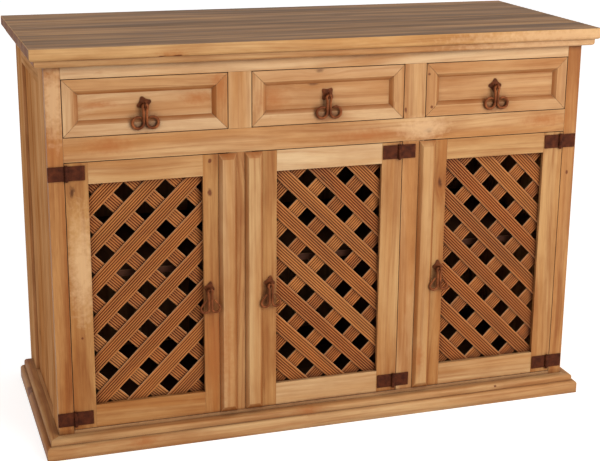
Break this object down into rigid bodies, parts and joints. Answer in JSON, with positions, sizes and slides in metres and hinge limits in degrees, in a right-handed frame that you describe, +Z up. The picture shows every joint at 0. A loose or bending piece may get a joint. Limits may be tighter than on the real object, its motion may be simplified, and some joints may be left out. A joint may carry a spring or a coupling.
{
  "type": "sideboard cabinet",
  "caption": "Low wooden sideboard with drawers over lattice-panelled doors, a moulded top and base, surface hinges and forged drop pulls.",
  "frame": {"origin": "on the floor, under the middle of the whole cabinet's footprint", "axes": "+Z up, +X to the right along the front as one faces it, +Y into the depth; the doors and drawers face -Y"},
  "size_m": [1.364, 0.563, 0.95],
  "materials": {
    "pine_top": "waxed pine, greyer and flatter on top",
    "pine_moulding": "waxed honey pine",
    "pine_frame": "waxed honey pine",
    "pine_side": "waxed pine, browner",
    "pine_back": "plain dry pine",
    "pine_inside": "plain dry pine",
    "pine_slats": "reeded, darker waxed pine",
    "pine_door": "waxed honey pine",
    "pine_drawer": "waxed honey pine",
    "pine_drawer_box": "plain dry pine",
    "iron_hinge": "dark brown lacquered iron",
    "iron_pull": "brown rust-toned forged iron"
  },
  "bodies": {
    "cabinet": {"top_boards": "pine_top", "cornice": "pine_moulding", "face_posts": "pine_frame", "top_rail": "pine_frame", "drawer_rail": "pine_frame", "bottom_rail": "pine_frame", "drawer_dividers": "pine_frame", "fixed_stiles": "pine_frame", "side_stiles": "pine_side", "side_rails": "pine_side", "side_panels": "pine_side", "partitions": "pine_inside", "drawer_runners": "pine_inside", "drawer_guides": "pine_inside", "floor_boards": "pine_inside", "floor_bearers": "pine_inside", "shelves": "pine_inside", "shelf_cleats": "pine_inside", "back_rails": "pine_back", "back_boards": "pine_back", "base_moulding": "pine_moulding", "plinth_boards": "pine_moulding", "hinge_post_leaves": "iron_hinge", "hinge_pins": "iron_hinge"},
    "drawer_1": {"drawer_1_frame": "pine_drawer", "drawer_1_panel": "pine_drawer", "drawer_1_box": "pine_drawer_box", "drawer_1_pull_plate": "iron_pull"},
    "drawer_2": {"drawer_2_frame": "pine_drawer", "drawer_2_panel": "pine_drawer", "drawer_2_box": "pine_drawer_box", "drawer_2_pull_plate": "iron_pull"},
    "drawer_3": {"drawer_3_frame": "pine_drawer", "drawer_3_panel": "pine_drawer", "drawer_3_box": "pine_drawer_box", "drawer_3_pull_plate": "iron_pull"},
    "door_1": {"door_1_frame": "pine_door", "door_1_front_slats": "pine_slats", "door_1_back_slats": "pine_slats", "door_1_strip": "pine_door", "door_1_hinge_leaves": "iron_hinge", "door_1_pull_plate": "iron_pull"},
    "door_2": {"door_2_frame": "pine_door", "door_2_front_slats": "pine_slats", "door_2_back_slats": "pine_slats", "door_2_strip": "pine_door", "door_2_hinge_leaves": "iron_hinge", "door_2_pull_plate": "iron_pull"},
    "door_3": {"door_3_frame": "pine_door", "door_3_front_slats": "pine_slats", "door_3_back_slats": "pine_slats", "door_3_strip": "pine_door", "door_3_hinge_leaves": "iron_hinge", "door_3_pull_plate": "iron_pull"},
    "drawer_1_pull": {"drawer_1_pull_handle": "iron_pull"},
    "drawer_2_pull": {"drawer_2_pull_handle": "iron_pull"},
    "drawer_3_pull": {"drawer_3_pull_handle": "iron_pull"},
    "door_1_pull": {"door_1_pull_handle": "iron_pull"},
    "door_2_pull": {"door_2_pull_handle": "iron_pull"},
    "door_3_pull": {"door_3_pull_handle": "iron_pull"}
  },
  "joints": [
    {"name": "drawer_1_slide", "type": "slide", "parent": "cabinet", "child": "drawer_1", "axis": [0, -1, 0], "range_m": [0, 0.35]},
    {"name": "drawer_2_slide", "type": "slide", "parent": "cabinet", "child": "drawer_2", "axis": [0, -1, 0], "range_m": [0, 0.35]},
    {"name": "drawer_3_slide", "type": "slide", "parent": "cabinet", "child": "drawer_3", "axis": [0, -1, 0], "range_m": [0, 0.35]},
    {"name": "door_1_swing", "type": "hinge", "parent": "cabinet", "child": "door_1", "pos_m": [-0.6095, -0.2527, 0.37475], "axis": [0, 0, -1], "range_deg": [0, 105]},
    {"name": "door_2_swing", "type": "hinge", "parent": "cabinet", "child": "door_2", "pos_m": [0.1775, -0.2527, 0.37475], "axis": [0, 0, 1], "range_deg": [0, 105]},
    {"name": "door_3_swing", "type": "hinge", "parent": "cabinet", "child": "door_3", "pos_m": [0.605, -0.2527, 0.37475], "axis": [0, 0, 1], "range_deg": [0, 105]},
    {"name": "drawer_1_pull_swing", "type": "hinge", "parent": "drawer_1", "child": "drawer_1_pull", "pos_m": [-0.4315, -0.2535, 0.8155], "axis": [-1, 0, 0], "range_deg": [0, 110]},
    {"name": "drawer_2_pull_swing", "type": "hinge", "parent": "drawer_2", "child": "drawer_2_pull", "pos_m": [-0.0025, -0.2535, 0.8155], "axis": [-1, 0, 0], "range_deg": [0, 110]},
    {"name": "drawer_3_pull_swing", "type": "hinge", "parent": "drawer_3", "child": "drawer_3_pull", "pos_m": [0.424, -0.2535, 0.8155], "axis": [-1, 0, 0], "range_deg": [0, 110]},
    {"name": "door_1_pull_swing", "type": "hinge", "parent": "door_1", "child": "door_1_pull", "pos_m": [-0.29, -0.2615, 0.37225], "axis": [-1, 0, 0], "range_deg": [0, 110]},
    {"name": "door_2_pull_swing", "type": "hinge", "parent": "door_2", "child": "door_2_pull", "pos_m": [-0.1435, -0.2615, 0.37225], "axis": [-1, 0, 0], "range_deg": [0, 110]},
    {"name": "door_3_pull_swing", "type": "hinge", "parent": "door_3", "child": "door_3_pull", "pos_m": [0.2875, -0.2615, 0.37225], "axis": [-1, 0, 0], "range_deg": [0, 110]}
  ]
}
